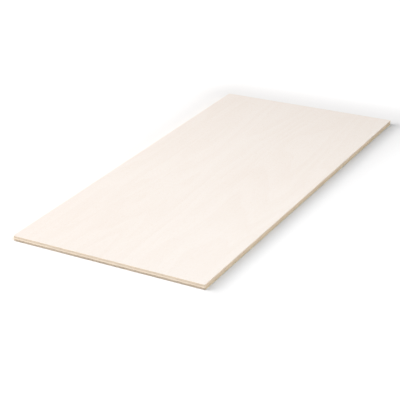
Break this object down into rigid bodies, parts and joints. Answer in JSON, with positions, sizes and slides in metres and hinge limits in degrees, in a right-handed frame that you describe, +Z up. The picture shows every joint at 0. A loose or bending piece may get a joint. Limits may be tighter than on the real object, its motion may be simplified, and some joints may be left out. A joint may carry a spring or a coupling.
{
  "type": "plywood sheet",
  "caption": "Flat rectangular sheet of pale plywood, a cross-grain core veneer glued between two long-grain outer veneers, with eased edges.",
  "frame": {"origin": "centre of the underside, on the floor that the sheet lies on", "axes": "+X along the sheet's length and the grain of its face, +Y across it, +Z up out of the face"},
  "size_m": [0.5, 0.25, 0.0065],
  "materials": {
    "face_veneer": "matte",
    "core_veneer": "matte",
    "back_veneer": "matte"
  },
  "bodies": {
    "root": {"face_veneer": "face_veneer", "core_veneer": "core_veneer", "back_veneer": "back_veneer"}
  },
  "joints": []
}
